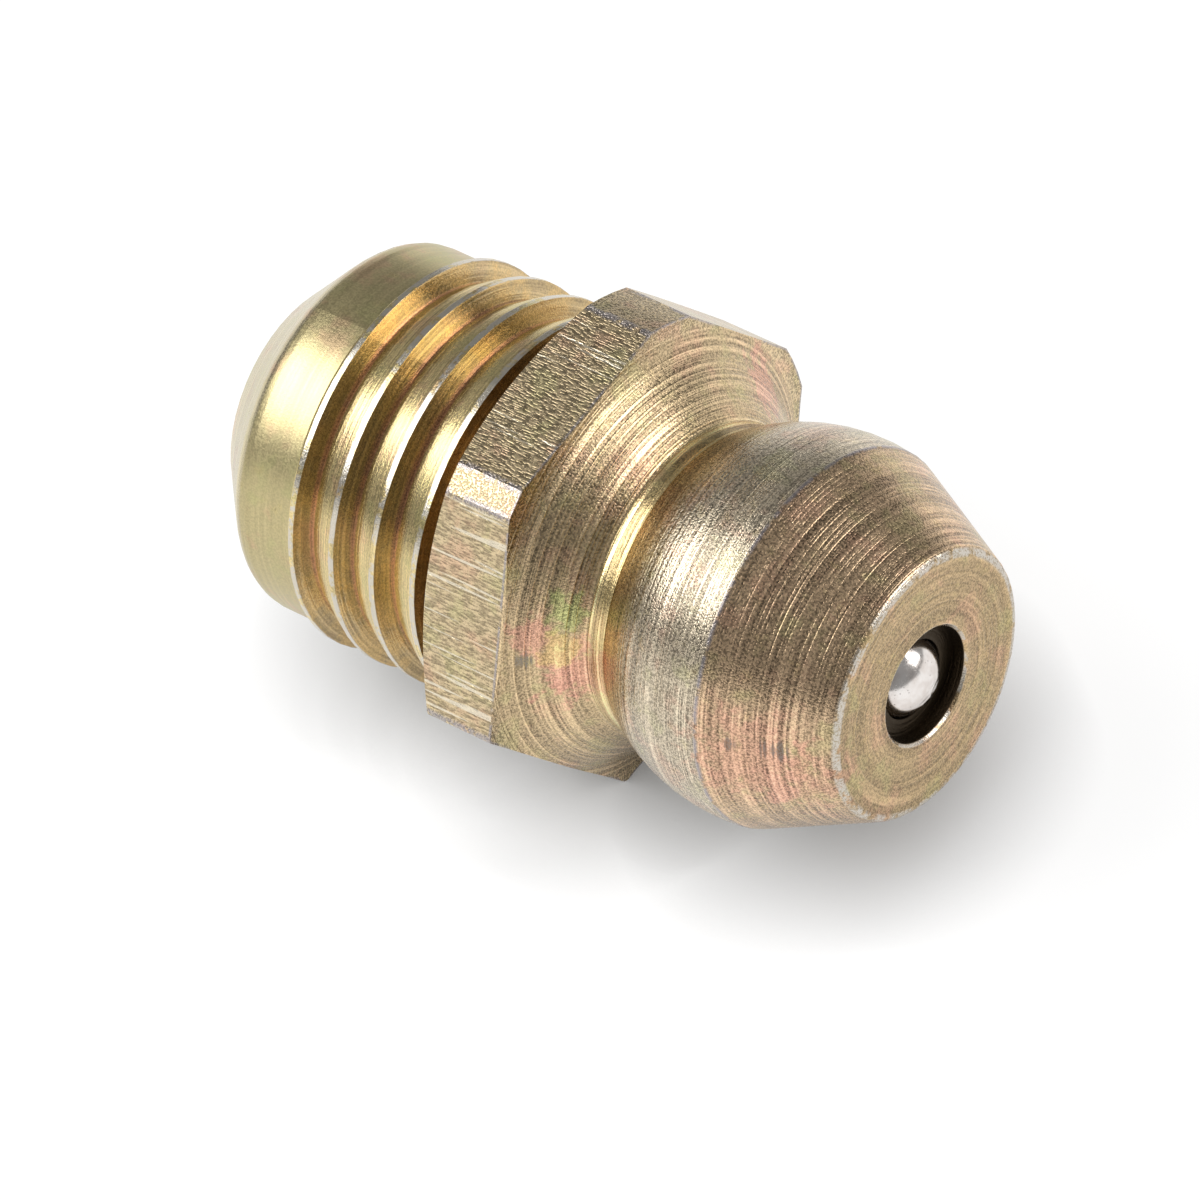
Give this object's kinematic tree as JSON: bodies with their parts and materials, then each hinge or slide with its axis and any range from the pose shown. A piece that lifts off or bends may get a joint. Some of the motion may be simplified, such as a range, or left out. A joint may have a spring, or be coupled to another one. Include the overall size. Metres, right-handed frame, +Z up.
{
  "type": "grease nipple",
  "caption": "Drive-in grease nipple: conical head with a spring-loaded check ball, hexagonal collar and barbed shank that is driven into a drilled hole.",
  "frame": {"origin": "on the axis, in the plane of the seat: the back face of the collar, which stops against the housing", "axes": "+X along the axis from the shank to the head; +Z up, square to the side of the hexagon that the nipple lies on"},
  "size_m": [0.0131, 0.0086, 0.0077],
  "materials": {
    "plated_steel": "zinc plated and yellow chromated, turned",
    "bearing_steel": "polished, slightly pitted",
    "spring_wire": "drawn wire"
  },
  "bodies": {
    "body": {"body": "plated_steel", "spring": "spring_wire"},
    "ball": {"ball": "bearing_steel"}
  },
  "joints": [
    {"name": "ball_lift", "type": "slide", "parent": "body", "child": "ball", "axis": [-1, 0, 0], "range_m": [0, 0.001], "stiffness_N_per_m": 2500, "springref_m": -0.0008, "deforming": ["spring"]}
  ]
}
